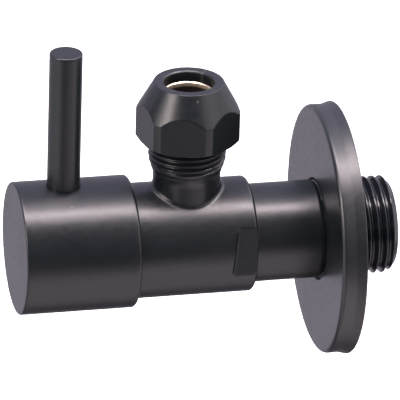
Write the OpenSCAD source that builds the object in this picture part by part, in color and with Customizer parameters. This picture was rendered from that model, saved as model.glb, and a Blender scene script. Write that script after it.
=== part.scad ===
// Angle stop valve with a lever handle, quarter-turn ceramic disc cartridge,
// G 1/2 inlet, sliding wall rosette and a G 3/8 compression outlet.
// Frame: +X runs along the inlet into the wall, +Z up along the outlet.
// The origin is on the inlet axis, in the wall plane.

/* [Inlet and neck] */
// Crest diameter of the G 1/2 inlet thread
inlet_thread_d = 20.8; // [20.7:0.05:20.95]
// How far the inlet thread reaches past the wall plane
inlet_len = 10.9; // [10.9:0.1:16]
// Diameter of the waterway through the inlet
inlet_bore_d = 12; // [9:0.5:12.5]
// Diameter of the plain neck that carries the rosette
neck_d = 20.9; // [20.9:0.1:21.3]

/* [Wall rosette] */
// Outer diameter of the rosette at its wall rim
rosette_d = 53.9; // [46:0.1:70]
// Depth of the rosette from the wall to its front face
rosette_depth = 5.3; // [4.8:0.1:8]
// Sheet thickness of the rosette
rosette_t = 0.8; // [0.7:0.05:1.2]
// Diameter of the hole in the rosette
rosette_hole_d = 22; // [21.9:0.1:23]
// How far the loose rosette hangs below the inlet axis
rosette_drop = 0.15; // [0:0.05:0.2]

/* [Body] */
// Outer diameter of the round body
body_d = 24.55; // [24.4:0.05:24.7]
// Distance from the wall plane to the body's shoulder
shoulder_x = 20; // [17:0.5:20]
// Distance from the wall plane to the outlet axis
outlet_x = 33.55; // [33:0.05:34]
// Edge radius of the body's shoulder
body_edge = 0.8; // [0.3:0.1:1]
// Width across the two wrench flats
flats_af = 22; // [21:0.1:23]
// Length of the wrench flats along the body, at mid height
flats_len = 4.35; // [3:0.05:5]
// Slant of the flats' inner end
flats_slant = 5; // [0:0.5:8]
// How far the flats are turned about the inlet axis
flats_turn = 4; // [0:0.5:6]
// Corner radius that the cutter leaves at the flats' inner end
flats_corner = 1; // [0.5:0.1:1.4]

/* [Outlet] */
// Crest diameter of the G 3/8 outlet thread
outlet_thread_d = 16.5; // [16.42:0.02:16.5]
// Diameter of the plain relief under the outlet thread
outlet_relief_d = 14.3; // [13.6:0.1:14.6]
// Diameter of the tube that the outlet takes
tube_d = 10; // [9.6:0.1:10]
// Width across the flats of the compression nut
nut_af = 19.85; // [19.4:0.05:20.4]
// Diameter that the nut's corners are turned to
nut_corner_d = 22; // [21.4:0.1:22.6]
// Height of the compression nut
nut_h = 13.1; // [12.6:0.1:14]
// Angle of the nut's flats about the outlet axis
nut_angle = 11.9; // [0:0.1:60]

/* [Handle] */
// Outer diameter of the handle barrel
handle_d = 28.2; // [27.6:0.1:32]
// Length of the handle barrel
handle_len = 24.65; // [24.2:0.05:27]
// Edge radius at the handle's end face
handle_front_edge = 0.5; // [0.2:0.1:1]
// Edge radius at the handle's open rim
handle_rear_edge = 1.0; // [0.3:0.1:1.2]
// Diameter of the lever rod
lever_d = 7; // [5.5:0.1:8]
// Height of the lever's tip above the inlet axis
lever_top = 44.4; // [30:0.1:60]

/* [Cartridge] */
// Diameter of the spindle where it turns in the housing
spindle_d = 9; // [8.6:0.1:9.4]
// Radial running gap between spindle and housing
spindle_gap = 0.05; // [0.03:0.01:0.08]
// Diameter of the ceramic discs
disc_d = 15; // [14.4:0.1:15]
// Number of teeth on the spindle's spline
spline_teeth = 20; // [12:2:24]

/* [Hidden] */

fn = 96;
body_r = body_d / 2;
neck_r = neck_d / 2;
bore_r = inlet_bore_d / 2;

// Body and cartridge stations along the inlet axis
body_end = -48;          // handle end of the body
seat_x = -27;            // face that the seat seal presses on
chamber_r = 9.6;
chamber_end = -42;
cart_thread_r = 10;      // M20 x 1 cartridge thread
cav_r = disc_d / 2 + 0.1; // inside of the cartridge barrel
barrel_r = cav_r + 1;    // outside of the cartridge barrel
cav_top = -42.2;         // end of the cartridge's wide cavity
housing_top = -54.5;
spindle_r = spindle_d / 2;
spline_r = 4;
disc_joint = -32.6;      // plane where the two discs slide on each other
washer_front = -55.5;    // stop washer and housing stop share this band

// Outlet stations along Z
boss_top = 27.6;
outlet_p = 1.337;        // G 3/8, 19 threads per inch
outlet_crest_r = outlet_thread_d / 2;
outlet_root_r = outlet_crest_r - 0.6403 * outlet_p;
tube_stop = 17;
socket_r = tube_d / 2 + 0.1;
ferrule_bore_r = tube_d / 2 + 0.05;
ferrule_r = 6.3;
nut_z = 23;
nut_top = nut_z + nut_h;
nut_cone_z = nut_z + 6.6;
nut_bore_r = 8.4;
nut_hole_r = 5.3;

// Inlet thread, G 1/2, 14 threads per inch
inlet_p = 1.814;
inlet_crest_r = inlet_thread_d / 2;
inlet_root_r = inlet_crest_r - 0.6403 * inlet_p;
inlet_last = inlet_len - 1.3;                         // crest nearest the end
inlet_crests = 1 + floor((inlet_last - 0.5) / inlet_p); // crests past the wall plane

// Handle stations
handle_rear = -45.5;
handle_front = handle_rear - handle_len;
handle_r = handle_d / 2;
handle_bore_r = 12.7;
insert_r = 8;
insert_end = -57;
lever_x = -60;
lever_r = lever_d / 2;
lever_foot = 11.5;       // bottom of the lever's counterbore
stud_r = 2.5;

brass = [0.80, 0.62, 0.30];
black = [0.20, 0.20, 0.22];
face_grey = [0.26, 0.26, 0.28];
rubber = [0.08, 0.08, 0.09];
ceramic = [0.93, 0.92, 0.88];
steel = [0.70, 0.71, 0.72];
plastic = [0.88, 0.88, 0.85];
gasket_red = [0.55, 0.22, 0.16];

// ---------- helpers ----------

// Turns a profile drawn as [radius, position] about the inlet axis
module turn_x() { rotate([0, 90, 0]) rotate_extrude($fn = fn) children(); }

// Turns a profile drawn as [radius, height] about the outlet axis
module turn_z() { translate([-outlet_x, 0, 0]) rotate_extrude($fn = fn) children(); }

// Plain cylinder on the inlet axis from x0 to x1
module rod_x(r, x0, x1) {
    translate([x0, 0, 0]) rotate([0, 90, 0]) cylinder(r = r, h = x1 - x0, $fn = fn);
}

// Extrudes a shape drawn as seen from the handle end, first axis up (Z),
// second axis to the front (-Y), from x0 to x1
module slab_x(x0, x1) {
    multmatrix([[0, 0, 1, x0], [0, -1, 0, 0], [1, 0, 0, 0]]) linear_extrude(height = x1 - x0) children();
}

// Waste outside a rounded convex corner at [cr, cx]; sr and sx (+1 or -1)
// point from the corner into the material
module corner_waste(cr, cx, f, sr, sx) {
    difference() {
        translate([cr + (sr > 0 ? -0.01 : -f), cx + (sx > 0 ? -0.01 : -f)]) square(f + 0.01);
        translate([cr + sr * f, cx + sx * f]) circle(r = f, $fn = 48);
    }
}

// Filling of a concave corner at [cr, cx]
module corner_fill(cr, cx, f, sr, sx) {
    difference() {
        translate([cr + (sr > 0 ? -0.01 : -f), cx + (sx > 0 ? -0.01 : -f)]) square(f + 0.01);
        translate([cr + sr * f, cx + sx * f]) circle(r = f, $fn = 48);
    }
}

// One thread crest with 55 degree flanks: flat w wide at rc, centred on c;
// fall is how much lower its far edge is
function crest(rc, rr, c, p, fall = 0) = let (w = p / 6, s = (rc - rr) * 0.5206)
    [[rr, c - w / 2 - s], [rc, c - w / 2], [rc - fall, c + w / 2], [rr, c + w / 2 + s]];

// Pie-slice outline of radius r from angle a0 to a1
module pie(r, a0, a1, steps = 24) {
    polygon(concat([[0, 0]], [for (i = [0:steps]) let (a = a0 + (a1 - a0) * i / steps) [r * cos(a), r * sin(a)]]));
}

// Ring sector with true round inner and outer walls
module ring_sector(r0, r1, a0, a1) {
    intersection() {
        difference() { circle(r = r1, $fn = fn); circle(r = r0, $fn = fn); }
        pie(r1 * 1.6, a0, a1);
    }
}

// Spline outline with straight-sided teeth, grown by g
module spline(g) {
    n = spline_teeth;
    polygon([for (i = [0:n - 1]) for (q = [[-0.32, -0.4], [-0.16, 0], [0.16, 0], [0.32, -0.4]])
        let (a = 360 * (i + q[0]) / n, r = spline_r + g + q[1]) [r * cos(a), r * sin(a)]]);
}

// ---------- wall side ----------

module valve_body() color(black) difference() {
    union() {
        // turned body, neck, relief groove and inlet thread
        turn_x() difference() {
            polygon(concat(
                [[0, body_end], [body_r, body_end], [body_r, -shoulder_x], [neck_r, -shoulder_x],
                 [neck_r - 0.02, -6.3], [inlet_root_r + 0.3, -5.9]],
                // crests hidden in the rosette, then those that enter the wall
                [for (k = [inlet_crests + 2:-1:inlet_crests]) each
                    crest(inlet_crest_r + 0.02, inlet_root_r, inlet_last - k * inlet_p, inlet_p, 0.03)],
                [for (k = [inlet_crests - 1:-1:0]) each
                    crest(inlet_crest_r, inlet_root_r, inlet_last - k * inlet_p, inlet_p)],
                [[inlet_root_r - 0.35, inlet_len], [0, inlet_len]]));
            corner_waste(body_r, body_end, 0.4, -1, 1);
            corner_waste(body_r, -shoulder_x, body_edge, -1, -1);
        }
        // outlet boss with its thread, the last two crests running out
        turn_z() polygon(concat(
            [[0, 0], [outlet_relief_d / 2, 0], [outlet_relief_d / 2, 16], [outlet_root_r, 16.7]],
            [for (k = [6:-1:0]) each crest(outlet_crest_r - (k == 6 ? 0.5 : k == 5 ? 0.22 : 0),
                outlet_root_r, boss_top - 1.95 - k * outlet_p, outlet_p)],
            [[outlet_root_r, boss_top - 0.6], [outlet_root_r - 0.5, boss_top], [0, boss_top]]));
    }
    // inlet waterway, seat bore and cartridge chamber
    turn_x() polygon([[0, seat_x - 1], [bore_r, seat_x - 1], [bore_r, inlet_len - 0.6],
        [bore_r + 0.6, inlet_len], [bore_r + 0.6, inlet_len + 1], [0, inlet_len + 1]]);
    rod_x(chamber_r, chamber_end - 0.5, seat_x);
    turn_x() polygon([[0, body_end - 1], [cart_thread_r + 0.45, body_end - 1],
        [cart_thread_r + 0.45, body_end], [cart_thread_r + 0.03, body_end + 0.42],
        [cart_thread_r + 0.03, chamber_end], [0, chamber_end]]);
    // outlet passage, tube socket and ferrule cone
    turn_z() polygon([[0, 6], [4, 6], [4, tube_stop], [socket_r, tube_stop],
        [socket_r, 26.2], [6.35, boss_top], [6.35, boss_top + 1], [0, boss_top + 1]]);
    // two wrench flats, each with the round corner of its cutter at the inner end
    for (a = [0, 180]) rotate([-flats_turn + a, 0, 0]) translate([-shoulder_x - flats_len, -flats_af / 2, 0])
        rotate([0, flats_slant, 0]) translate([0, 0, -12]) linear_extrude(height = 24) {
            translate([0, -4]) square([9, 4]);
            translate([0, -flats_corner]) circle(r = flats_corner, $fn = 48);
            translate([-flats_corner, -4]) square([flats_corner + 0.01, 4 - flats_corner]);
        }
}

module wall_rosette() color(face_grey) translate([0, 0, -rosette_drop]) turn_x() {
    d = rosette_depth;
    t = rosette_t;
    h = rosette_hole_d / 2;
    rim = rosette_d / 2;
    bead = rim - 0.35;
    waist = rim - 0.5;
    difference() {
        union() {
            // side wall with a shallow waist between the bead and the rim
            polygon([[bead, -d], [bead, -d + 1.5], [waist, -2.4], [rim, -0.4], [rim, 0],
                [rim - t, 0], [rim - t, -0.5], [waist - t, -2.4], [bead - t, -d + 1.5], [bead - t, -d]]);
            // front face
            translate([h, -d]) square([bead - h, t]);
            // lip turned in around the neck
            translate([h, -d]) square([t, 1.7]);
            corner_fill(h + t, -d + t, 0.5, 1, 1);
            corner_fill(bead - t, -d + t, 0.5, -1, 1);
        }
        corner_waste(bead, -d, 0.9, -1, 1);
        corner_waste(h, -d, 0.75, 1, 1);
        corner_waste(rim, 0, 0.25, -1, -1);
    }
}

// ---------- outlet side ----------

module compression_nut() color(black) difference() {
    intersection() {
        // hexagon with the corners turned off
        translate([-outlet_x, 0, nut_z]) rotate([0, 0, nut_angle - 30])
            cylinder(r = nut_af / 2 / cos(30), h = nut_h, $fn = 6);
        turn_z() polygon([[0, nut_z], [nut_corner_d / 2 - 0.9, nut_z], [nut_corner_d / 2, nut_z + 0.5],
            [nut_corner_d / 2, nut_cone_z], [7.4, nut_top], [0, nut_top]]);
    }
    // threaded side, ferrule cone and tube hole
    turn_z() polygon([[0, nut_z - 1], [nut_bore_r + 0.5, nut_z - 1], [nut_bore_r + 0.5, nut_z],
        [nut_bore_r, nut_z + 0.5], [nut_bore_r, nut_z + 7.2], [7, nut_z + 7.6], [ferrule_r + 0.25, nut_z + 8],
        [ferrule_r + 0.25, 31.95], [nut_hole_r, 33.9], [nut_hole_r, nut_top - 0.3],
        [nut_hole_r + 0.3, nut_top], [nut_hole_r + 0.3, nut_top + 1], [0, nut_top + 1]]);
}

module compression_ferrule() color(brass) turn_z()
    polygon([[ferrule_bore_r, 26.85], [5.45, 26.85], [ferrule_r, 28.15], [ferrule_r, 31.75],
        [5.5, 33.35], [5.3, 33.7], [ferrule_bore_r + 0.08, 33.7], [ferrule_bore_r, 33.6]]);

// ---------- handle ----------

module handle_barrel() color(black) difference() {
    turn_x() difference() {
        polygon([[0, handle_front], [handle_r, handle_front], [handle_r, handle_rear], [0, handle_rear]]);
        corner_waste(handle_r, handle_front, handle_front_edge, -1, 1);
        corner_waste(handle_r, handle_rear, handle_rear_edge, -1, -1);
    }
    // bore for the spline insert, then the skirt around the cartridge and body end
    rod_x(insert_r + 0.02, handle_front + 2.5, insert_end + 0.01);
    turn_x() polygon([[0, insert_end], [handle_bore_r - 0.6, insert_end], [handle_bore_r, insert_end + 0.6],
        [handle_bore_r, handle_rear + 1], [0, handle_rear + 1]]);
    // counterbore and tapped hole for the lever
    translate([lever_x, 0, lever_foot]) cylinder(r = lever_r + 0.02, h = 10, $fn = fn);
    translate([lever_x, 0, 6]) cylinder(r = stud_r + 0.02, h = 10, $fn = fn);
}

module lever_rod() color(black) translate([lever_x, 0, 0]) rotate_extrude($fn = fn) {
    difference() {
        translate([0, lever_foot]) square([lever_r, lever_top - lever_foot]);
        corner_waste(lever_r, lever_top, 0.3, -1, -1);
    }
    // M5 stud that screws through the barrel and locks the insert on the spindle
    polygon(concat([[0, spline_r + 0.08], [1.6, spline_r + 0.08], [2.05, spline_r + 0.55]],
        [for (k = [0:7]) each crest(stud_r, 2.05, spline_r + 1 + k * 0.8, 0.8)],
        [[2.05, lever_foot + 0.1], [0, lever_foot + 0.1]]));
}

module spline_insert() color(brass) difference() {
    turn_x() difference() {
        polygon([[0, handle_front + 2.8], [insert_r, handle_front + 2.8], [insert_r, insert_end], [0, insert_end]]);
        // two shallow grooves that key the bush in the barrel
        for (x = [-65.4, -63.8]) translate([insert_r - 0.25, x]) square([1, 0.6]);
        corner_waste(insert_r, insert_end, 0.3, -1, -1);
    }
    slab_x(handle_front + 3.4, insert_end + 1) spline(0.05);
    translate([lever_x, 0, 0]) cylinder(r = stud_r + 0.02, h = insert_r + 2, $fn = fn);
}

// ---------- cartridge ----------

module cartridge_housing() color(brass) difference() {
    union() {
        // barrel, M20 x 1 thread, undercut and round collar
        turn_x() polygon(concat(
            [[0, -28.6], [barrel_r - 0.3, -28.6], [barrel_r, -28.9], [barrel_r, -41.6], [9.3, -42.1]],
            [for (k = [0:5]) each [[9.4, -42.3 - k], [cart_thread_r, -42.65 - k], [cart_thread_r, -42.8 - k], [9.4, -43.15 - k]]],
            [[9.4, -48.9], [10.2, -49], [12, -49], [12, -50.3], [11.8, -50.5], [0, -50.5]]));
        // hexagon for the cartridge spanner, with chamfered corners
        intersection() {
            slab_x(housing_top, -50.4) circle(r = 17 / 2 / cos(30), $fn = 6);
            turn_x() polygon([[0, housing_top], [8.9, housing_top], [9.9, housing_top + 0.6], [9.9, -50], [0, -50]]);
        }
        // half-ring stop for the stop washer
        slab_x(washer_front, housing_top + 0.01) ring_sector(5.4, 7.4, 180, 360);
    }
    // spindle bore with a lead-in, and the cavity for the discs
    turn_x() polygon([[0, washer_front - 1], [spindle_r + spindle_gap + 0.3, washer_front - 1],
        [spindle_r + spindle_gap + 0.3, housing_top], [spindle_r + spindle_gap, housing_top + 0.3],
        [spindle_r + spindle_gap, cav_top - 0.3], [spindle_r + spindle_gap + 0.3, cav_top],
        [cav_r, cav_top], [cav_r, -28], [0, -28]]);
    // two outlet windows beside the rotating disc
    for (a = [0, 180]) slab_x(-36.4, disc_joint - 0.1) ring_sector(5, 12, a - 40, a + 40);
    // two slots that hold the fixed disc's lugs
    translate([disc_joint, -12, -1.6]) cube([6, 24, 3.2]);
}

module cartridge_gasket() color(gasket_red) turn_x()
    translate([10.25, -49]) square([1.75, 1]);

module cartridge_spindle() color(brass) difference() {
    union() {
        // splined end
        intersection() {
            slab_x(-66.6, -54.4) spline(0);
            turn_x() polygon([[0, -66.6], [3.5, -66.6], [4.2, -65.9], [4.2, -54], [0, -54]]);
        }
        // journal with two seal grooves, and the thrust flange
        turn_x() difference() {
            polygon([[0, -54.5], [spindle_r - 0.3, -54.5], [spindle_r, -54.2], [spindle_r, cav_top],
                [spindle_r, -41.3], [cav_r - 0.25, -41.3], [cav_r - 0.25, -38.8], [0, -38.8]]);
            for (x = [-51.5, -46.5]) translate([3.38, x - 0.7]) square([3, 1.4]);
        }
        // driver bar above the rotating disc, and the tongue that turns it
        intersection() {
            translate([-39, -10, -3]) cube([39 - 35.65, 20, 6]);
            rod_x(cav_r - 0.3, -39, -35);
        }
        translate([-36, -5, -1.45]) cube([1.35, 10, 2.9]);
    }
    // circlip groove
    turn_x() difference() {
        translate([3.4, -56.5]) square([2, 0.9]);
    }
}

module spindle_o_rings() color(rubber) for (x = [-51.5, -46.5])
    turn_x() translate([3.95, x]) circle(r = 0.56, $fn = 32);

module thrust_washer() color(plastic) turn_x()
    translate([spindle_r + 0.05, -42.12]) square([cav_r - 0.35 - spindle_r, 0.75]);

module stop_washer() color(steel) difference() {
    slab_x(washer_front + 0.02, housing_top - 0.05) union() {
        circle(r = 5.2, $fn = fn);
        ring_sector(5, 7.4, 1, 89);
    }
    slab_x(washer_front - 1, housing_top + 1) spline(0.05);
}

module spindle_circlip() color(steel) slab_x(-56.45, -55.65)
    difference() {
        circle(r = 5.4, $fn = fn);
        circle(r = 3.45, $fn = fn);
        pie(9, 60, 120);
    }

module rotating_disc() color(ceramic) difference() {
    // bow-tie disc: two solid sectors joined by a hub
    slab_x(-35.6, disc_joint - 0.02) union() {
        circle(r = 2.6, $fn = fn);
        for (a = [90, 270]) ring_sector(2, disc_d / 2 - 0.1, a - 47, a + 47);
    }
    // slot for the spindle's tongue
    translate([-36, -5.1, -1.5]) cube([1.45, 10.2, 3]);
}

module fixed_disc() color(ceramic) difference() {
    slab_x(disc_joint, -29.6) {
        circle(r = disc_d / 2, $fn = fn);
        // lugs that lock into the housing
        square([2.9, 2 * (barrel_r - 0.15)], center = true);
    }
    // two waterways
    for (a = [0, 180]) slab_x(disc_joint - 1, -29) ring_sector(2.7, 5.5, a - 38, a + 38);
}

module seat_seal() color(rubber) turn_x()
    polygon([[6.05, -29.58], [disc_d / 2, -29.58], [disc_d / 2, -28.3], [7.2, -27.02], [6.4, -27.02], [6.05, -27.5]]);

module seal_support_ring() color(plastic) turn_x()
    polygon([[5.6, -29.58], [6.03, -29.58], [6.03, -27.6], [5.9, -27.4], [5.6, -27.4]]);

valve_body();
wall_rosette();
compression_nut();
compression_ferrule();
handle_barrel();
lever_rod();
spline_insert();
cartridge_housing();
cartridge_gasket();
cartridge_spindle();
spindle_o_rings();
thrust_washer();
stop_washer();
spindle_circlip();
rotating_disc();
fixed_disc();
seat_seal();
seal_support_ring();
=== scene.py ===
import math
import bpy
import bmesh
import numpy as np
from mathutils import Matrix, Vector


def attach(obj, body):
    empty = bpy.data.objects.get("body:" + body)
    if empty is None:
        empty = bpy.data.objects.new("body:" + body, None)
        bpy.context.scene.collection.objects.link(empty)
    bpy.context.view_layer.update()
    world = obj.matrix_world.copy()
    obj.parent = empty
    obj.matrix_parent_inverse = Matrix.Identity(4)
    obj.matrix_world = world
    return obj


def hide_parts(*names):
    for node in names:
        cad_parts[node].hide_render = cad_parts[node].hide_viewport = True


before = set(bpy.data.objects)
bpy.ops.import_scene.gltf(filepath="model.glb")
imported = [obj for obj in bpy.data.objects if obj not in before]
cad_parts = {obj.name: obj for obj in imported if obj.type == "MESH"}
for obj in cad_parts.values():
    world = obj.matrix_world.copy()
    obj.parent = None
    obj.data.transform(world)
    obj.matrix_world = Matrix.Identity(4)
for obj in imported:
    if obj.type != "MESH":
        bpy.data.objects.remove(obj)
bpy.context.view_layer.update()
scene = bpy.context.scene
PI = math.pi
MM = 0.001

# ------------------------------------------------------------------ mesh kit


class Shell:
    """Collects rings of points (mm) and the quads between them."""

    def __init__(self):
        self.v, self.f, self.n = [], [], 0

    def ring(self, pts):
        pts = np.asarray(pts, float)
        idx = np.arange(len(pts)) + self.n
        self.v.append(pts)
        self.n += len(pts)
        return idx

    def loft(self, a, b):
        a2, b2 = np.roll(a, -1), np.roll(b, -1)
        self.f.append(np.stack([a, a2, b2, b], 1))

    def lofts(self, rings):
        for a, b in zip(rings, rings[1:]):
            self.loft(a, b)

    def cap(self, ring, centre):
        """Closes a ring with a fan of triangles to its centre."""
        c = self.ring([centre])[0]
        r2 = np.roll(ring, -1)
        self.tris = getattr(self, "tris", [])
        self.tris += [(int(a), int(b), int(c)) for a, b in zip(ring, r2)]

    def make(self, name, body, material, slot, nodes=(), sharp=38.0):
        v = np.concatenate(self.v) * MM
        faces = [tuple(q) for f in self.f for q in f.tolist()] + getattr(self, "tris", [])
        me = bpy.data.meshes.new(name)
        me.from_pydata(v.tolist(), [], faces)
        bm = bmesh.new()
        bm.from_mesh(me)
        bmesh.ops.remove_doubles(bm, verts=bm.verts, dist=1e-7)
        bmesh.ops.dissolve_degenerate(bm, edges=bm.edges, dist=1e-8)
        bmesh.ops.recalc_face_normals(bm, faces=bm.faces)
        bm.to_mesh(me)
        bm.free()
        me.update()
        me.shade_smooth()
        me.set_sharp_from_angle(angle=math.radians(sharp))
        o = bpy.data.objects.new(name, me)
        scene.collection.objects.link(o)
        me.materials.append(material)
        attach(o, body)
        if nodes:
            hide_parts(*nodes)
        return o


def rounded(points, seg=5):
    """Profile [(a, b, radius), ...]: each inner corner rounded with its radius."""
    out = []
    n = len(points)
    for i, p in enumerate(points):
        a, b = float(p[0]), float(p[1])
        r = p[2] if len(p) > 2 else 0
        if r <= 0 or i in (0, n - 1):
            out.append((a, b))
            continue
        P, A, B = np.array([a, b]), np.array(points[i - 1][:2], float), np.array(points[i + 1][:2], float)
        u, w = A - P, B - P
        lu, lw = np.linalg.norm(u), np.linalg.norm(w)
        u, w = u / lu, w / lw
        half = math.acos(max(-1, min(1, float(u @ w)))) / 2
        t = min(r / math.tan(half), lu * 0.49, lw * 0.49)
        r = t * math.tan(half)
        m = (u + w) / np.linalg.norm(u + w)
        c = P + m * (r / math.sin(half))
        s, e = P + u * t - c, P + w * t - c
        a0, a1 = math.atan2(s[1], s[0]), math.atan2(e[1], e[0])
        d = (a1 - a0 + PI) % (2 * PI) - PI
        k = max(2, int(round(seg * abs(d) / (PI / 2))) + 1)
        for j in range(k + 1):
            g = a0 + d * j / k
            out.append((c[0] + r * math.cos(g), c[1] + r * math.sin(g)))
    return out


def subdivide(profile, step):
    """Adds points so that no straight run of the profile is longer than step."""
    out = [profile[0]]
    for p, q in zip(profile, profile[1:]):
        k = max(1, int(math.ceil(math.hypot(q[0] - p[0], q[1] - p[1]) / step)))
        out += [(p[0] + (q[0] - p[0]) * j / k, p[1] + (q[1] - p[1]) * j / k) for j in range(1, k + 1)]
    return out


def smin(a, b, k):
    h = np.clip(0.5 + 0.5 * (b - a) / k, 0, 1)
    return b * (1 - h) + a * h - k * h * (1 - h)


def smax(a, b, k):
    return -smin(-np.asarray(a, float), -np.asarray(b, float), k)


def whitworth(u):
    """Height of a 55 degree rounded thread in pitches, 0 at the root to 0.6403 at the crest; u in pitches, crest at whole numbers."""
    u = np.abs((np.asarray(u, float) + 0.5) % 1.0 - 0.5)
    r = 0.1373
    top = 0.6403 - r + np.sqrt(np.clip(r * r - u * u, 0, None))
    bottom = r - np.sqrt(np.clip(r * r - (0.5 - u) ** 2, 0, None))
    flank = 0.5664 - (u - 0.1218) * 1.921
    return np.where(u < 0.1218, top, np.where(u > 0.3782, bottom, flank))


def ring_x(x, r, al, drop=0.0):
    """Ring about the inlet axis; al is the angle about +X from +Y, x and r may vary round it."""
    x = np.broadcast_to(np.asarray(x, float), al.shape)
    r = np.broadcast_to(np.asarray(r, float), al.shape)
    return np.stack([x, r * np.cos(al), r * np.sin(al) - drop], 1)


def ring_z(z, r, ph, cx, cy=0.0):
    z = np.broadcast_to(np.asarray(z, float), ph.shape)
    r = np.broadcast_to(np.asarray(r, float), ph.shape)
    return np.stack([cx + r * np.cos(ph), cy + r * np.sin(ph), z], 1)


# ------------------------------------------------------------------ materials

MATS = {}


def nodes_of(name):
    m = bpy.data.materials.new(name)
    m.use_nodes = True
    nt = m.node_tree
    for nd in list(nt.nodes):
        nt.nodes.remove(nd)
    out = nt.nodes.new("ShaderNodeOutputMaterial")
    bsdf = nt.nodes.new("ShaderNodeBsdfPrincipled")
    nt.links.new(bsdf.outputs[0], out.inputs[0])
    MATS[name] = m
    return m, nt, bsdf


def nd(nt, kind, **kw):
    n = nt.nodes.new(kind)
    for k, v in kw.items():
        if k in ("inputs",):
            for a, b in v.items():
                n.inputs[a].default_value = b
        else:
            setattr(n, k, v)
    return n


def noise(nt, co, scale, detail=2.0, rough=0.5, w=0.0):
    n = nd(nt, "ShaderNodeTexNoise", noise_dimensions="4D")
    n.inputs["Scale"].default_value = scale
    n.inputs["Detail"].default_value = detail
    n.inputs["Roughness"].default_value = rough
    n.inputs["W"].default_value = w
    nt.links.new(co, n.inputs["Vector"])
    return n.outputs["Fac"]


def ramp(nt, fac, stops):
    n = nd(nt, "ShaderNodeValToRGB")
    e = n.color_ramp.elements
    while len(e) > 1:
        e.remove(e[-1])
    e[0].position, e[0].color = stops[0][0], tuple(stops[0][1]) + (1,)
    for p, c in stops[1:]:
        k = e.new(p)
        k.color = tuple(c) + (1,)
    nt.links.new(fac, n.inputs["Fac"])
    return n.outputs["Color"]


def remap(nt, fac, a0, a1, b0, b1, clamp=True):
    n = nd(nt, "ShaderNodeMapRange", clamp=clamp)
    for k, v in zip(("From Min", "From Max", "To Min", "To Max"), (a0, a1, b0, b1)):
        n.inputs[k].default_value = v
    nt.links.new(fac, n.inputs["Value"])
    return n.outputs["Result"]


def math_(nt, op, a, b):
    n = nd(nt, "ShaderNodeMath", operation=op)
    for i, x in enumerate((a, b)):
        if isinstance(x, (int, float)):
            n.inputs[i].default_value = x
        else:
            nt.links.new(x, n.inputs[i])
    return n.outputs[0]


def mix(nt, fac, a, b, mode="MIX"):
    n = nd(nt, "ShaderNodeMix", data_type="RGBA", blend_type=mode)
    if isinstance(fac, (int, float)):
        n.inputs["Factor"].default_value = fac
    else:
        nt.links.new(fac, n.inputs["Factor"])
    for s, x in ((6, a), (7, b)):
        if isinstance(x, tuple):
            n.inputs[s].default_value = tuple(x) + ((1,) if len(x) == 3 else ())
        else:
            nt.links.new(x, n.inputs[s])
    return n.outputs[2]


def bump(nt, height, distance, strength=1.0, normal=None):
    n = nd(nt, "ShaderNodeBump")
    n.inputs["Distance"].default_value = distance
    n.inputs["Strength"].default_value = strength
    nt.links.new(height, n.inputs["Height"])
    if normal is not None:
        nt.links.new(normal, n.inputs["Normal"])
    return n.outputs["Normal"]


def black_coat(name, dark, light, rough, peel=1.0, seed=0.0, spec=0.5, turn=None):
    """Satin black electro-coat: cloudy tone, fine orange peel, dust specks and slightly rubbed edges."""
    m, nt, b = nodes_of(name)
    co = nd(nt, "ShaderNodeTexCoord").outputs["Object"]
    cloud = noise(nt, co, 55, 4, 0.6, seed)
    fine = noise(nt, co, 2600, 3, 0.6, seed + 1)
    peeln = noise(nt, co, 900, 2, 0.5, seed + 2)
    tone = ramp(nt, cloud, [(0.25, dark), (0.75, light)])
    grain = remap(nt, fine, 0.3, 0.7, 0.86, 1.16)
    g = nd(nt, "ShaderNodeCombineColor")
    for i in range(3):
        nt.links.new(grain, g.inputs[i])
    tone = mix(nt, 1.0, tone, g.outputs[0], "MULTIPLY")
    # sparse light dust specks
    v = nd(nt, "ShaderNodeTexVoronoi", voronoi_dimensions="3D", feature="F1")
    v.inputs["Scale"].default_value = 420
    v.inputs["Randomness"].default_value = 1.0
    nt.links.new(co, v.inputs["Vector"])
    sep = nd(nt, "ShaderNodeSeparateColor")
    nt.links.new(v.outputs["Color"], sep.inputs[0])
    rare = math_(nt, "GREATER_THAN", sep.outputs[0], 0.94)
    dot = remap(nt, v.outputs["Distance"], 0.04, 0.13, 1.0, 0.0)
    speck = math_(nt, "MULTIPLY", math_(nt, "MULTIPLY", rare, dot), 0.35)
    tone = mix(nt, speck, tone, (0.16, 0.155, 0.16))
    # edges rubbed a little lighter
    geo = nd(nt, "ShaderNodeNewGeometry")
    edge = remap(nt, geo.outputs["Pointiness"], 0.53, 0.62, 0.0, 0.22)
    edge = math_(nt, "MULTIPLY", edge, remap(nt, noise(nt, co, 300, 3, 0.6, seed + 3), 0.35, 0.65, 0.3, 1.0))
    tone = mix(nt, edge, tone, (0.075, 0.072, 0.075))
    nt.links.new(tone, b.inputs["Base Color"])
    rv = remap(nt, peeln, 0.25, 0.75, rough - 0.035, rough + 0.035)
    rv = math_(nt, "ADD", rv, remap(nt, cloud, 0.3, 0.7, -0.02, 0.02))
    if turn is not None:
        # along the inlet axis the finish changes from one turned surface to the next
        sx = nd(nt, "ShaderNodeSeparateXYZ")
        nt.links.new(co, sx.inputs[0])
        rv = math_(nt, "MULTIPLY", rv, remap(nt, sx.outputs["X"], turn[0], turn[1], 1.0, turn[2]))
    nt.links.new(rv, b.inputs["Roughness"])
    h = math_(nt, "ADD", math_(nt, "MULTIPLY", peeln, 0.7), math_(nt, "MULTIPLY", fine, 0.5))
    h = math_(nt, "ADD", h, math_(nt, "MULTIPLY", speck, 1.5))
    nt.links.new(bump(nt, h, 0.0000055 * peel, 1.0), b.inputs["Normal"])
    b.inputs["IOR"].default_value = 1.5
    b.inputs["Specular IOR Level"].default_value = spec
    b.inputs["Metallic"].default_value = 0.0
    return m


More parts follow.
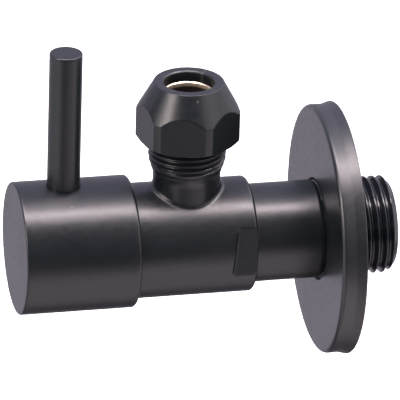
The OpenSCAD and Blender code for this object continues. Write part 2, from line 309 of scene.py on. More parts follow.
def turned_metal(name, colour, dark, rough, axis="X", pitch=0.12, metallic=1.0, seed=0.0):
    """Turned metal: fine tool rings along an axis, slight stains."""
    m, nt, b = nodes_of(name)
    co = nd(nt, "ShaderNodeTexCoord").outputs["Object"]
    sep = nd(nt, "ShaderNodeSeparateXYZ")
    nt.links.new(co, sep.inputs[0])
    a = sep.outputs["XYZ".index(axis)]
    wob = noise(nt, co, 260, 2, 0.5, seed)
    phase = math_(nt, "ADD", math_(nt, "MULTIPLY", a, 2 * PI / (pitch * MM)), math_(nt, "MULTIPLY", wob, 5.0))
    lines = math_(nt, "SINE", phase, 0.0)
    cloud = noise(nt, co, 120, 4, 0.6, seed + 1)
    tone = ramp(nt, cloud, [(0.3, dark), (0.7, colour)])
    nt.links.new(tone, b.inputs["Base Color"])
    rv = remap(nt, noise(nt, co, 1500, 3, 0.6, seed + 2), 0.3, 0.7, rough - 0.05, rough + 0.08)
    nt.links.new(rv, b.inputs["Roughness"])
    h = math_(nt, "ADD", math_(nt, "MULTIPLY", lines, 0.3), noise(nt, co, 1800, 2, 0.5, seed + 3))
    nt.links.new(bump(nt, h, 0.000006, 1.0), b.inputs["Normal"])
    b.inputs["Metallic"].default_value = metallic
    return m


def painted_bore_shade(mat, cx, radius, colour):
    """Turned metal with painted shade in its bore (within radius mm of the line x = cx): a dark, non-metallic colour,
    weaker near the top, stands in for the shade down the bore.
    """
    nt = mat.node_tree
    b = next(n for n in nt.nodes if n.type == "BSDF_PRINCIPLED")
    sep = nd(nt, "ShaderNodeSeparateXYZ")
    nt.links.new(nd(nt, "ShaderNodeTexCoord").outputs["Object"], sep.inputs[0])
    dx = math_(nt, "ADD", sep.outputs["X"], -cx * MM)
    rr = math_(nt, "SQRT", math_(nt, "ADD", math_(nt, "MULTIPLY", dx, dx), math_(nt, "MULTIPLY", sep.outputs["Y"], sep.outputs["Y"])), 0.0)
    bore_shade_mask = remap(nt, rr, (radius + 0.02) * MM, (radius + 0.10) * MM, 1.0, 0.0)
    # painted shade: full strength down the bore, fading to a third near its top
    shade_depth = remap(nt, math_(nt, "ADD", sep.outputs["Z"], remap(nt, noise(nt, nd(nt, "ShaderNodeTexCoord").outputs["Object"], 500, 3, 0.6, 3), 0.3, 0.7, -0.0001, 0.0001)), 0.0326, 0.0335, 1.0, 0.3)
    bore_shade_mask = math_(nt, "MULTIPLY", bore_shade_mask, shade_depth)
    old = b.inputs["Base Color"].links[0].from_socket
    nt.links.new(mix(nt, bore_shade_mask, old, colour), b.inputs["Base Color"])
    nt.links.new(math_(nt, "SUBTRACT", 1.0, bore_shade_mask), b.inputs["Metallic"])
    return mat


def moulded(name, colour, dark, rough, grain=1800, depth=0.00001, spec=0.5, seed=0.0, subsurface=0.0):
    """Rubber, plastic, fibre and ceramic: cloudy tone and fine grain."""
    m, nt, b = nodes_of(name)
    co = nd(nt, "ShaderNodeTexCoord").outputs["Object"]
    cloud = noise(nt, co, 150, 4, 0.6, seed)
    fine = noise(nt, co, grain, 3, 0.6, seed + 1)
    tone = ramp(nt, cloud, [(0.3, dark), (0.7, colour)])
    k = nd(nt, "ShaderNodeCombineColor")
    g = remap(nt, fine, 0.3, 0.7, 0.9, 1.08)
    for i in range(3):
        nt.links.new(g, k.inputs[i])
    nt.links.new(mix(nt, 1.0, tone, k.outputs[0], "MULTIPLY"), b.inputs["Base Color"])
    nt.links.new(remap(nt, fine, 0.3, 0.7, rough - 0.06, rough + 0.06), b.inputs["Roughness"])
    nt.links.new(bump(nt, fine, depth, 1.0), b.inputs["Normal"])
    b.inputs["Specular IOR Level"].default_value = spec
    return m


DARK, LIGHT = (0.0022, 0.0038, 0.0056), (0.0040, 0.0056, 0.0076)
COAT = black_coat("black_coat_body", DARK, LIGHT, 0.34, 1.0, 0.0, turn=(-0.004, -0.002, 0.62))
COAT_H = black_coat("black_coat_handle", DARK, LIGHT, 0.34, 1.0, 7.0)
COAT_L = black_coat("black_coat_lever", DARK, LIGHT, 0.34, 1.0, 13.0)
COAT_N = black_coat("black_coat_nut", DARK, LIGHT, 0.34, 1.2, 21.0)
COAT_R = black_coat("black_coat_rosette", DARK, LIGHT, 0.33, 0.9, 31.0, spec=0.68, turn=(-0.0051, -0.0044, 1.22))
BRASS = turned_metal("bare_brass", (0.80, 0.56, 0.26), (0.66, 0.44, 0.19), 0.22, "X", 0.12, 1.0, 2.0)
BRASS_Z = turned_metal("bare_brass_ferrule", (0.80, 0.66, 0.50), (0.70, 0.56, 0.40), 0.24, "Z", 0.12, 1.0, 4.0)
# the ferrule's bore gets painted shade
painted_bore_shade(BRASS_Z, -33.55, 5.05, (0.014, 0.011, 0.011))
STEEL = turned_metal("steel_stamped", (0.56, 0.57, 0.59), (0.44, 0.45, 0.47), 0.3, "X", 0.09, 1.0, 6.0)
CERAMIC = moulded("ceramic_lapped", (0.86, 0.85, 0.80), (0.78, 0.77, 0.72), 0.16, 2400, 0.000002, 0.5, 3.0)
RUBBER = moulded("seal_rubber", (0.022, 0.022, 0.024), (0.014, 0.014, 0.015), 0.55, 1500, 0.00001, 0.4, 5.0)
PLASTIC = moulded("slide_plastic", (0.80, 0.79, 0.74), (0.70, 0.69, 0.64), 0.42, 1600, 0.000006, 0.5, 8.0)
FIBRE = moulded("gasket_fibre", (0.42, 0.12, 0.07), (0.27, 0.075, 0.045), 0.75, 1300, 0.00002, 0.3, 9.0)

for names, mat in (
    (("spline_insert", "cartridge_housing", "cartridge_spindle"), BRASS),
    (("stop_washer", "spindle_circlip"), STEEL),
    (("rotating_disc", "fixed_disc"), CERAMIC),
    (("spindle_o_rings", "seat_seal"), RUBBER),
    (("thrust_washer", "seal_support_ring"), PLASTIC),
    (("cartridge_gasket",), FIBRE),
):
    for n in names:
        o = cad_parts[n]
        if not o.material_slots:
            o.data.materials.append(mat)
        for s in o.material_slots:
            s.link = "OBJECT"
            s.material = mat

# ------------------------------------------------------------------ valve body

BODY_R, NECK_R = 12.275, 10.45
OUT_X, BOSS_R, SADDLE = -33.55, 7.15, 1.2
P_IN, CREST_IN = 1.814, 10.4
ROOT_IN = CREST_IN - 0.6403 * P_IN
P_OUT, CREST_OUT = 1.337, 8.25
ROOT_OUT = CREST_OUT - 0.6403 * P_OUT
THREAD_TOP_X = 9.6            # crest over the axis nearest the inlet's end
THREAD_RIGHT_Z = 25.65        # crest of the outlet thread on its +X side
FLAT_N = math.radians(176)    # front flat's normal, about +X from +Y
FLAT_D, FLAT_X, FLAT_SLANT = 11.0, -25.3, math.tan(math.radians(6))


def angles():
    """Angles of the body's grid: even steps, with extra lines along the flats' edges."""
    base = np.radians(np.arange(0, 360, 1.8))
    extra = []
    for c in (FLAT_N, FLAT_N + PI):
        for s in (-1, 1):
            e = c + s * math.acos(FLAT_D / BODY_R)
            extra += [e - 0.012, e, e + 0.012]
    extra = np.mod(np.array(extra), 2 * PI)
    keep = [b for b in base if np.min(np.abs(np.angle(np.exp(1j * (extra - b))))) > 0.005]
    return np.sort(np.concatenate([keep, extra]))


AL = angles()
J0 = int(np.argmin(np.abs(AL - math.radians(45))))
J1 = int(np.argmin(np.abs(AL - math.radians(135))))


def flat_cut(x, al):
    """Radius left by the two wrench-flat cutters."""
    out = np.full(np.broadcast(x, al).shape, 99.0)
    for c in (FLAT_N, FLAT_N + PI):
        be = np.angle(np.exp(1j * (al - c)))
        near = np.abs(be) < math.radians(50)
        zz = -np.tan(np.clip(be, -0.87, 0.87)) * FLAT_D
        s = x - (FLAT_X + FLAT_SLANT * zz)
        y = np.where(s < 0, FLAT_D + 1 - 8 * s, np.where(s < 1, FLAT_D + 1 - np.sqrt(np.clip(2 * s - s * s, 0, 1)), FLAT_D))
        y = y / np.cos(np.clip(be, -0.9, 0.9))
        out = np.where(near, np.minimum(out, y), out)
    return out


def warp(al):
    """How far the flats' inner end leans along X at each angle."""
    w = np.zeros_like(al)
    lim = math.acos(FLAT_D / BODY_R)
    for c in (FLAT_N, FLAT_N + PI):
        be = np.angle(np.exp(1j * (al - c)))
        w += -np.tan(np.clip(be, -lim, lim)) * FLAT_D * FLAT_SLANT * np.clip((math.radians(40) - np.abs(be)) / math.radians(13), 0, 1)
    return w


def inlet_radius(x, al):
    """Thread with its run-out towards the neck and the chamfer at its end."""
    ph = np.mod(al - PI / 2, 2 * PI) / (2 * PI)
    r = ROOT_IN + P_IN * whitworth((x - THREAD_TOP_X) / P_IN - ph)
    floor = ROOT_IN + np.clip(-3.5 - x, 0, None) * 0.5
    r = smax(r, floor, 0.12)
    neck = np.where(x < -6.0, NECK_R, np.where(x < -4.0, NECK_R - (x + 6.0) / 2 * (NECK_R - CREST_IN), CREST_IN + 0.02))
    r = smin(r, neck, 0.06)
    r = np.where(x < -8.6, NECK_R, r)
    chamfer = ROOT_IN - 0.35 + (10.9 - x) * 1.15
    return smin(r, chamfer, 0.25)


def outlet_radius(z, ph):
    """Outlet thread: crests grow out of the plain relief, and the end is chamfered."""
    r = ROOT_OUT + P_OUT * whitworth((z - THREAD_RIGHT_Z) / P_OUT - ph / (2 * PI))
    r = smin(r, BOSS_R + 0.05 + np.clip(z - 15.7, -9, None) * 0.33, 0.22)
    r = smax(r, BOSS_R, 0.08)
    return smin(r, 6.9 + (27.6 - z) * 1.25, 0.12)


def square_tube(sh, G, IL, JL, X, R, curve, levels, depth_in=5):
    """Joins a rectangular hole in grid G to a round tube. IL runs from -X to +X, JL from low angle to high. curve(ph)
    gives (x, angle) of the tube's line on the wall; returns (ph, ring index on the curve)."""
    jm = len(JL) // 2
    e = [(IL[-1], JL[j]) for j in range(jm, 0, -1)]
    e += [(IL[i], JL[0]) for i in range(len(IL) - 1, 0, -1)]
    e += [(IL[0], JL[j]) for j in range(0, len(JL) - 1)]
    e += [(IL[i], JL[-1]) for i in range(0, len(IL) - 1)]
    e += [(IL[-1], JL[j]) for j in range(len(JL) - 1, jm, -1)]
    idx = np.array([G[i, j] for i, j in e])
    ex = np.array([X[i][j] for i, j in e])
    er = np.array([R[i][j] for i, j in e])
    ea = np.array([AL[j] for i, j in e])
    xc = levels
    ph = np.arctan2(-(ea - PI / 2) * er, ex - xc)
    cx, ca = curve(ph)
    last = idx
    for t in np.linspace(0, 1, depth_in + 1)[1:]:
        x, a = ex + (cx - ex) * t, ea + (ca - ea) * t
        ring = sh.ring(np.stack([x, er * np.cos(a), er * np.sin(a)], 1))
        sh.loft(last, ring)
        last = ring
    return ph, last


def on_cylinder(xc, rho, wall):
    """The line where a tube of radius rho meets a cylinder of radius wall: x and angle at each ph."""
    return lambda ph: (xc + rho * np.cos(ph), np.arctan2(np.sqrt(wall * wall - (rho * np.sin(ph)) ** 2), rho * np.sin(ph)))


def grid(sh, X, R, holes, closed=True):
    """Rings X[m], R[m] over AL joined into quads, leaving out holes (i_low, i_high, j_low, j_high)."""
    G = np.array([sh.ring(ring_x(X[i], R[i], AL)) for i in range(len(X))])
    m, n = G.shape
    for i in range(m if closed else m - 1):
        k = (i + 1) % m
        j = np.arange(n)
        for a, b, c, d in holes:
            if a <= i < b:
                j = j[(j < c) | (j >= d)]
        sh.f.append(np.stack([G[i, j], G[i, (j + 1) % n], G[k, (j + 1) % n], G[k, j]], 1))
    return G


class Stations:
    def __init__(self):
        self.x, self.r = [], []

    def add(self, x, r):
        self.x.append(np.broadcast_to(np.asarray(x, float), AL.shape).copy())
        self.r.append(np.broadcast_to(np.asarray(r, float), AL.shape).copy())

    def profile(self, pts):
        for a, b in pts:
            self.add(a, b)

    def __len__(self):
        return len(self.x)


def build_body():
    sh, st = Shell(), Stations()
    W = warp(AL)
    cells = 44
    st.profile(rounded([(-47.58, 10.03), (-48, 10.45, 0.05), (-48, BODY_R, 0.4), (-45.5, BODY_R)], 5)[:-1])
    st.profile([(x, BODY_R) for x in (-46.4, -45.2, -44.2)])
    i0 = len(st)
    inner = (-0.5, -0.3, -0.16, -0.08, -0.035, -0.01, 0.015, 0.05, 0.1, 0.18, 0.28)
    for x in np.linspace(-43.1, FLAT_X - 0.85, cells + 1 - len(inner)):
        k = float(np.clip((x + 29.5) / 3.6, 0, 1))
        st.add(x + W * k * k * (3 - 2 * k), BODY_R)
    # the flats' inner end, following the cutter
    for s in inner + (0.4, 0.55, 0.72, 0.88, 1.0, 1.25):
        if s == 0.4:
            i1 = len(st) - 1
        x = FLAT_X + s + W
        st.add(x, smin(BODY_R, flat_cut(x, AL), 0.09))
    for x in np.linspace(-23.6, -20.8, 7):
        x = x + W * (-20.8 - x) / 3.25
        st.add(x, smin(BODY_R, flat_cut(x, AL), 0.09))
    # shoulder edge and face
    for t in np.radians([10, 20, 30, 40, 50, 58, 66, 74, 82, 90]):
        x = -20.8 + 0.8 * math.sin(t)
        c = flat_cut(np.full(AL.shape, x), AL)
        d = max(0.0, x + 20.14)
        c = c - (0.14 - math.sqrt(max(0.0, 0.14 ** 2 - d * d)))
        st.add(x, smin(11.475 + 0.8 * math.cos(t), c, 0.09))
    edge = st.r[-1]
    for t in (0.3, 0.65):
        st.add(-20, edge + (10.72 - edge) * t)
    st.profile(rounded([(-20, 10.9), (-20, NECK_R, 0.22), (-19, NECK_R)], 4)[1:-1])
    st.profile([(x, NECK_R) for x in np.linspace(-19.2, -9.6, 12)])
    for x in np.arange(-8.7, 10.62, P_IN / 15):
        st.add(x, inlet_radius(x, AL))
    for x in (10.66, 10.74, 10.8, 10.85, 10.88):
        st.add(x, inlet_radius(x, AL) - 0.05 * max(0, (x - 10.6) / 0.3) ** 2)
    rim = st.r[-1]
    st.add(10.9, rim - 0.04)
    st.add(10.9, 7.6)
    # inlet waterway, seat and cartridge chamber
    st.profile(rounded([(10.9, 7.0), (10.9, 6.6, 0.05), (10.3, 6.0, 0.2), (9, 6.0)], 3)[:-1])
    st.profile([(x, 6.0) for x in np.linspace(8.5, -26.6, 14)])
    st.profile(rounded([(-26.7, 6.0), (-27, 6.0, 0.1), (-27, 9.6, 0.15), (-27.2, 9.6)], 3)[1:-1])
    k0 = len(st)
    for x in np.linspace(OUT_X + 6.2, OUT_X - 6.2, cells + 1):
        st.add(x, 9.6)
    k1 = len(st) - 1
    st.profile([(-40.6, 9.6), (-41.4, 9.6), (-42, 9.6), (-42, 10.03)])
    st.profile([(x, 10.03) for x in np.linspace(-42.6, -46.8, 5)])
    X, R = st.x, st.r
    G = grid(sh, X, R, [(i0, i1, J0, J1), (k0, k1, J0, J1)])
    JL = list(range(J0, J1 + 1))
    # saddle between body and boss
    f = SADDLE
    rho, big = BOSS_R + f, BODY_R + f
    s = BODY_R / big

    def contact(ph):
        y = rho * np.sin(ph)
        z = np.sqrt(big * big - y * y)
        return OUT_X + rho * np.cos(ph), np.arctan2(z, y)

    ph, last = square_tube(sh, G, list(range(i0, i1 + 1)), JL, X, R, contact, OUT_X, 6)
    y = rho * np.sin(ph)
    z = np.sqrt(big * big - y * y)
    c = np.stack([OUT_X + rho * np.cos(ph), y, z], 1)
    B = np.stack([c[:, 0], y * s, z * s], 1)
    A = np.stack([OUT_X + BOSS_R * np.cos(ph), BOSS_R * np.sin(ph), z], 1)
    u, w = (B - c) / f, (A - c) / f
    om = np.arccos(np.clip((u * w).sum(1), -1, 1))[:, None]
    for t in np.linspace(0, 1, 10)[1:]:
        p = c + f * (np.sin((1 - t) * om) * u + np.sin(t * om) * w) / np.sin(om)
        ring = sh.ring(p)
        sh.loft(last, ring)
        last = ring
    for t in (0.35, 0.7, 1.0):
        ring = sh.ring(ring_z(z + (15.6 - z) * t, BOSS_R, ph, OUT_X))
        sh.loft(last, ring)
        last = ring
    zs = list(np.arange(15.7, 27.2, P_OUT / 13)) + [27.25, 27.32, 27.4, 27.47, 27.53, 27.57]
    for zz in zs:
        ring = sh.ring(ring_z(zz, outlet_radius(zz, ph), ph, OUT_X))
        sh.loft(last, ring)
        last = ring
    rr = outlet_radius(27.57, ph) - 0.04
    for r, zz in [(rr, 27.6), (6.6, 27.6)] + [(np.float64(a), b) for a, b in rounded([(6.5, 27.6), (6.35, 27.6, 0.05), (5.1, 26.2, 0.1), (5.1, 24)], 3)[1:-1]] + \
            [(5.1, q) for q in (24.5, 22.5, 20.5, 18.5)] + [(5.1, 17.0), (4.1, 17.0), (4.0, 16.9), (4.0, 14.5), (4.0, 12.0)]:
        ring = sh.ring(ring_z(zz, r, ph, OUT_X))
        sh.loft(last, ring)
        last = ring
    ph2, inner = square_tube(sh, G, list(range(k1, k0 - 1, -1)), JL, X, R, on_cylinder(OUT_X, 4.0, 9.6), OUT_X, 4)
    sh.loft(last, inner)
    return sh.make("body_casting", "valve", COAT, "black_coat", ["valve_body"], 40)


body = build_body()

# ------------------------------------------------------------------ rosette

def lathe_x(name, prof, n, bodyname, mat, slotname, nodes, drop=0.0, closed=True, sharp=40.0, caps=(False, False)):
    sh = Shell()
    al = np.linspace(0, 2 * PI, n, endpoint=False)
    rings = [sh.ring(ring_x(a, b, al, drop)) for a, b in prof]
    sh.lofts(rings + ([rings[0]] if closed else []))
    if caps[0]:
        sh.cap(rings[0], (prof[0][0], 0, -drop))
    if caps[1]:
        sh.cap(rings[-1], (prof[-1][0], 0, -drop))
    return sh.make(name, bodyname, mat, slotname, nodes, sharp)


ros = rounded([(-2.0, 26.5), (-0.45, 26.93, 0.5), (0, 26.95, 0.22), (0, 26.15, 0.1), (-0.5, 26.15, 0.4), (-2.4, 25.66, 2), (-3.8, 25.8, 1), (-4.5, 25.8, 0.45),
               (-4.5, 11.8, 0.5), (-3.2, 11.8, 0.2), (-3.2, 10.84, 0.1), (-5.3, 10.84, 0.42), (-5.3, 26.58, 0.95), (-3.2, 26.5, 3), (-2.3, 26.48, 2), (-2.0, 26.5)], 8)[:-1]
rosette = lathe_x("rosette_shell", subdivide(ros + [ros[0]], 1.6)[:-1], 288, "rosette", COAT_R, "black_sheet", ["wall_rosette"], 0.15)

# ------------------------------------------------------------------ outlet nut and ferrule


def build_nut():
    sh = Shell()
    af, corner = 9.925, 11.0
    d = math.degrees(math.acos(af / corner))
    one = sorted(set([round(q, 3) for q in np.linspace(-29.8, 29.8, 34)] + [-d - 0.5, -d, -d + 0.5, -d + 1.1, d - 1.1, d - 0.5, d, d + 0.5]))
    ph = np.radians(np.array([11.9 + 60 * k + a for k in range(6) for a in one]))
    be = np.radians(np.array([a for k in range(6) for a in one]))
    hexr = smin(af / np.cos(be), corner, 0.05)

    def outer(z):
        r = smin(hexr, 7.4 + (36.1 - z) * (3.6 / 6.5), 0.06)
        return smin(r, 10.1 + (z - 23) * 1.8, 0.12)

    zs = [23.02, 23.06, 23.12, 23.2, 23.28, 23.36, 23.44, 23.52, 23.62, 23.8] + list(np.linspace(24.2, 29.0, 8)) + list(np.arange(29.15, 31.95, 0.085)) + list(np.linspace(32.2, 35.8, 7))
    prof = [(z, outer(z)) for z in zs]
    prof += [(a, b) for a, b in rounded([(35.9, 7.4 + 0.2 * 3.6 / 6.5), (36.1, 7.4, 0.18), (36.1, 5.6, 0.08), (35.8, 5.3, 0.1), (33.9, 5.3, 0.05), (31.95, 6.55, 0.1), (31.0, 6.55, 0.1), (30.6, 7.0)], 4)[1:]]
    # tapped bore, the same helix as the outlet's
    root = ROOT_OUT + 0.13
    phm = ph
    for z in np.arange(30.35, 23.1, -P_OUT / 13):
        r = root + P_OUT * whitworth((z - THREAD_RIGHT_Z) / P_OUT - phm / (2 * PI))
        r = smin(r, 7.1 + (30.6 - z) * 1.6, 0.1)
        r = smax(r, 8.95 - (z - 23) * 1.0, 0.1)
        prof.append((z, r))
    prof += [(23.03, 8.93), (23.0, 9.0), (23.0, 9.6), (23.0, outer(23.0) - 0.03)]
    rings = [sh.ring(ring_z(z, r, ph, OUT_X)) for z, r in prof]
    sh.lofts(rings + [rings[0]])
    return sh.make("outlet_nut", "nut", COAT_N, "black_coat", ["compression_nut"], 40)


nut = build_nut()


def lathe_z(name, prof, n, bodyname, mat, slotname, nodes, cx, closed=True, caps=(False, False), sharp=40.0, radius=None):
    sh = Shell()
    ph = np.linspace(0, 2 * PI, n, endpoint=False)
    rings = [sh.ring(ring_z(z, r(ph) if callable(r) else r, ph, cx)) for r, z in prof]
    sh.lofts(rings + ([rings[0]] if closed else []))
    if caps[0]:
        sh.cap(rings[0], (cx, 0, prof[0][1]))
    if caps[1]:
        sh.cap(rings[-1], (cx, 0, prof[-1][1]))
    return sh.make(name, bodyname, mat, slotname, nodes, sharp)


fer = rounded([(5.05, 30), (5.05, 26.85, 0.06), (5.45, 26.85, 0.06), (6.3, 28.15, 0.3), (6.3, 31.75, 0.3), (5.5, 33.35, 0.4), (5.33, 33.72, 0.05), (5.05, 33.5, 0.08), (5.05, 30)], 5)[:-1]
ferrule = lathe_z("brass_ferrule", subdivide(fer + [fer[0]], 0.8)[:-1], 160, "ferrule", BRASS_Z, "bare_brass", ["compression_ferrule"], OUT_X)

# ------------------------------------------------------------------ handle


def build_handle():
    sh, st = Shell(), Stations()
    cells = 44
    st.profile([(-70.15, r) for r in (0.8, 3.5, 6.5, 9.5, 12.0, 13.2)])
    st.profile(rounded([(-70.15, 13.3), (-70.15, 14.1, 0.5), (-68, 14.1)], 7)[1:-1])
    st.profile([(x, 14.1) for x in (-69.0, -67.8, -66.8)])
    i0 = len(st)
    for x in np.linspace(-66.0, -54.0, cells + 1):
        st.add(x, 14.1)
    i1 = len(st) - 1
    st.profile([(x, 14.1) for x in np.linspace(-53.2, -46.9, 8)])
    st.profile(rounded([(-47, 14.1), (-45.5, 14.1, 1.0), (-45.5, 12.42, 0.12), (-46.0, 12.42, 0.1), (-46.2, 12.7, 0.1), (-47, 12.7)], 8)[1:-1])
    st.profile([(x, 12.7) for x in np.linspace(-46.9, -56.2, 9)])
    st.profile(rounded([(-56.3, 12.7), (-57, 12.0, 0.3), (-57, 8.02, 0.1), (-57.2, 8.02)], 3)[:-1])
    k0 = len(st)
    for x in np.linspace(-57.3, -62.9, cells + 1):
        st.add(x, 8.02)
    k1 = len(st) - 1
    st.profile([(-64, 8.02), (-66, 8.02), (-67.65, 8.02), (-67.65, 5), (-67.65, 0.8)])
    X, R = st.x, st.r
    G = grid(sh, X, R, [(i0, i1, J0, J1), (k0, k1, J0, J1)], closed=False)
    sh.cap(G[0], (-70.15, 0, 0))
    sh.cap(G[-1], (-67.65, 0, 0))
    JL = list(range(J0, J1 + 1))
    ph, last = square_tube(sh, G, list(range(i0, i1 + 1)), JL, X, R, on_cylinder(-60, 3.66, 14.1), -60, 6)
    for r, dz in ((3.6, 0.02), (3.545, 0.06), (3.52, 0.14)):
        ring = sh.ring(ring_z(np.sqrt(14.1 ** 2 - (r * np.sin(ph)) ** 2) - dz, r, ph, -60))
        sh.loft(last, ring)
        last = ring
    for r, z in ((3.52, 12.4), (3.52, 11.5), (2.52, 11.5), (2.52, 9.8), (2.52, 8.6)):
        ring = sh.ring(ring_z(z, r, ph, -60))
        sh.loft(last, ring)
        last = ring
    ph2, inner = square_tube(sh, G, list(range(k1, k0 - 1, -1)), JL, X, R, on_cylinder(-60, 2.52, 8.02), -60, 4)
    sh.loft(last, inner)
    return sh.make("handle_cap", "handle", COAT_H, "black_coat", ["handle_barrel"], 40)


handle = build_handle()


def stud(z):
    def r(ph):
        v = 2.01 + 0.8 * whitworth((z - 5.2) / 0.8 - ph / (2 * PI))
        v = smin(v, 1.6 + (z - 4.08) * 0.9, 0.1)
        return smin(v, 2.06 + np.clip(11.3 - z, 0, 9) * 1.0, 0.1)
    return r


lev = [(q, 44.4) for q in (0.4, 1.6, 2.6)] + rounded([(2.8, 44.4), (3.5, 44.4, 0.32), (3.5, 43)], 6)[1:-1]
lev += [(3.5, z) for z in np.linspace(43.4, 12.0, 24)] + rounded([(3.5, 12), (3.5, 11.5, 0.12), (2.06, 11.5)], 3)[1:-1] + [(2.3, 11.5), (2.06, 11.5)]
lev += [(stud(z), z) for z in np.arange(11.35, 4.12, -0.8 / 11)] + [(1.55, 4.08), (0.4, 4.08)]
lever = lathe_z("lever_pin", lev, 128, "handle", COAT_L, "black_coat", ["lever_rod"], -60, closed=False, caps=(True, True))

# ------------------------------------------------------------------ stage, light, camera

white, wnt, wb = nodes_of("stage_white")
wb.inputs["Roughness"].default_value = 0.9
wn = noise(wnt, nd(wnt, "ShaderNodeTexCoord").outputs["Object"], 6, 2, 0.5, 0)
wnt.links.new(ramp(wnt, wn, [(0.3, (0.93, 0.93, 0.93)), (0.7, (0.96, 0.96, 0.96))]), wb.inputs["Base Color"])


def panel(name, centre, size, normal, mat):
    me = bpy.data.meshes.new(name)
    w, h = size[0] / 2, size[1] / 2
    me.from_pydata([(-w, -h, 0), (w, -h, 0), (w, h, 0), (-w, h, 0)], [], [(0, 1, 2, 3)])
    o = bpy.data.objects.new(name, me)
    scene.collection.objects.link(o)
    o.rotation_mode = "QUATERNION"
    o.rotation_quaternion = Vector(normal).to_track_quat("Z", "Y")
    o.location = centre
    me.materials.append(mat)
    return o


floor = panel("floor", (0, 0, -0.14), (30, 30), (0, 0, 1), white)

floor.visible_glossy = False


def tent(radius, half):
    """A light tent round the inlet axis that only the gloss of the part sees: bright under and in front, dark at camera height, grey behind."""
    n = 96
    v, f = [], []
    for k in range(n):
        a = 2 * PI * k / n
        v += [(-half, -radius * math.cos(a), radius * math.sin(a)), (half, -radius * math.cos(a), radius * math.sin(a))]
    for k in range(n):
        m = (k + 1) % n
        f.append((2 * k, 2 * k + 1, 2 * m + 1, 2 * m))
    me = bpy.data.meshes.new("tent")
    me.from_pydata(v, [], f)
    o = bpy.data.objects.new("tent", me)
    scene.collection.objects.link(o)
    m = bpy.data.materials.new("stage_tent")
    m.use_nodes = True
    nt = m.node_tree
    for x in list(nt.nodes):
        nt.nodes.remove(x)
    out = nt.nodes.new("ShaderNodeOutputMaterial")
    em = nt.nodes.new("ShaderNodeEmission")
    nt.links.new(em.outputs[0], out.inputs[0])
    sep = nd(nt, "ShaderNodeSeparateXYZ")
    nt.links.new(nd(nt, "ShaderNodeTexCoord").outputs["Object"], sep.inputs[0])
    ang = math_(nt, "ARCTAN2", sep.outputs["Z"], math_(nt, "MULTIPLY", sep.outputs["Y"], -1.0))
    pos = remap(nt, ang, -PI, PI, 0.0, 1.0)
    colour = ramp(nt, pos, [((a + 180) / 360, c) for a, c in TENT])
    # the camera and its stand, low in front and a little to the left
    low = ramp(nt, pos, [(0.0, (0, 0, 0)), (0.26, (0, 0, 0)), (0.32, (1, 1, 1)), (0.5, (1, 1, 1)), (0.55, (0, 0, 0))])
    off = math_(nt, "ABSOLUTE", math_(nt, "ADD", sep.outputs["X"], 0.40), 0.0)
    stand = remap(nt, off, 0.12, 0.50, 0.62, 0.0)
    shade = nd(nt, "ShaderNodeMix", data_type="RGBA", blend_type="MIX")
    both = nd(nt, "ShaderNodeSeparateColor")
    nt.links.new(low, both.inputs[0])
    nt.links.new(math_(nt, "MULTIPLY", both.outputs[0], stand), shade.inputs["Factor"])
    side = remap(nt, sep.outputs["X"], 0.24, 0.62, 0.0, 1.0)
    fill = mix(nt, side, (0.0, 0.0, 0.0), ramp(nt, pos, [((a + 180) / 360, c) for a, c in FILL]))
    nt.links.new(mix(nt, 1.0, colour, fill, "ADD"), shade.inputs[6])
    shade.inputs[7].default_value = (0.02, 0.02, 0.025, 1)
    nt.links.new(shade.outputs[2], em.inputs["Color"])
    em.inputs["Strength"].default_value = 1.0
    me.materials.append(m)
    o.visible_camera = False
    o.visible_diffuse = False
    o.visible_shadow = False
    o.visible_transmission = False
    return o


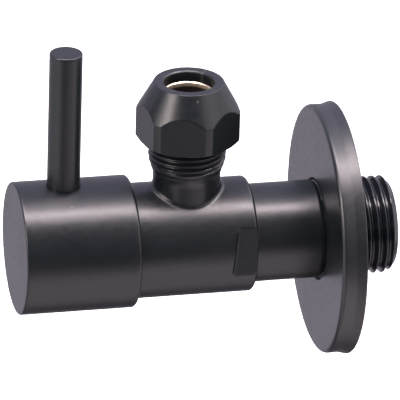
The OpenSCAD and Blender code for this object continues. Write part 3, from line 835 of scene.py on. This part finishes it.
# degrees about the inlet axis from the front horizon, up through 90 overhead; back horizon at 180
TENT = [(-180, (0.54, 0.50, 0.60)), (-158, (0.72, 0.66, 0.79)), (-140, (0.64, 0.59, 0.70)), (-126, (0.12, 0.11, 0.13)), (-104, (0.13, 0.12, 0.14)), (-94, (0.74, 0.64, 0.69)),
        (-66, (1.38, 1.19, 1.26)), (-40, (1.86, 1.60, 1.70)), (-29, (1.42, 1.23, 1.31)), (-19, (0.20, 0.185, 0.20)), (-8, (0.03, 0.03, 0.034)), (40, (0.02, 0.02, 0.025)),
        (60, (0.10, 0.10, 0.12)), (90, (0.66, 0.65, 0.88)), (120, (0.70, 0.70, 0.98)), (155, (0.60, 0.58, 0.76)), (180, (0.54, 0.50, 0.60))]
# what the tent's right-hand part adds
FILL = [(-5, (0, 0, 0)), (14, (1.5, 1.38, 1.42)), (62, (1.9, 1.76, 1.82)), (82, (3.4, 3.1, 3.2)), (126, (3.2, 2.95, 3.1)), (146, (0.3, 0.28, 0.3)), (170, (0, 0, 0))]
light_tent = tent(1.0, 1.6)

world = bpy.data.worlds.new("studio")
scene.world = world
world.use_nodes = True
world.node_tree.nodes["Background"].inputs[0].default_value = (1.0, 0.99, 1.03, 1)
world.node_tree.nodes["Background"].inputs[1].default_value = 1.08


def area(name, loc, target, sx, sy, power, colour):
    li = bpy.data.lights.new(name, "AREA")
    li.shape, li.size, li.size_y, li.energy, li.color = "RECTANGLE", sx, sy, power, colour
    o = bpy.data.objects.new(name, li)
    scene.collection.objects.link(o)
    o.location = loc
    o.rotation_mode = "QUATERNION"
    o.rotation_quaternion = (Vector(loc) - Vector(target)).to_track_quat("Z", "Y")
    return o


key = area("overhead_softbox", (0.13, -0.140, 0.767), (0.13, 0, 0.0), 0.9, 0.16, 12.8, (1.0, 0.87, 0.90))
side = area("left_softbox", (-0.76, -0.33, 0.44), (-0.03, 0, 0.02), 0.27, 0.40, 5.2, (1.0, 0.89, 0.86))
rear = area("upper_left_softbox", (-0.25, 0.075, 0.775), (-0.25, 0, 0.0), 0.40, 0.17, 3.4, (1.0, 0.92, 0.95))
for strip in (key, rear):
    strip.rotation_quaternion = Matrix.Rotation(math.atan2(-strip.location.y, strip.location.z), 3, "X").to_quaternion()

cam = bpy.data.cameras.new("camera")
camera = bpy.data.objects.new("camera", cam)
scene.collection.objects.link(camera)
cam.sensor_width, cam.lens = 36, 671.4
cam.clip_start, cam.clip_end = 0.05, 60
camera.matrix_world = Matrix(((0.97688, 0.06583, -0.20337, -0.35114), (-0.21207, 0.41787, -0.88341, -1.39308), (0.02683, 0.90611, 0.42217, 0.67414), (0, 0, 0, 1)))
scene.camera = camera
scene.view_settings.view_transform = "Standard"
scene.view_settings.look = "None"
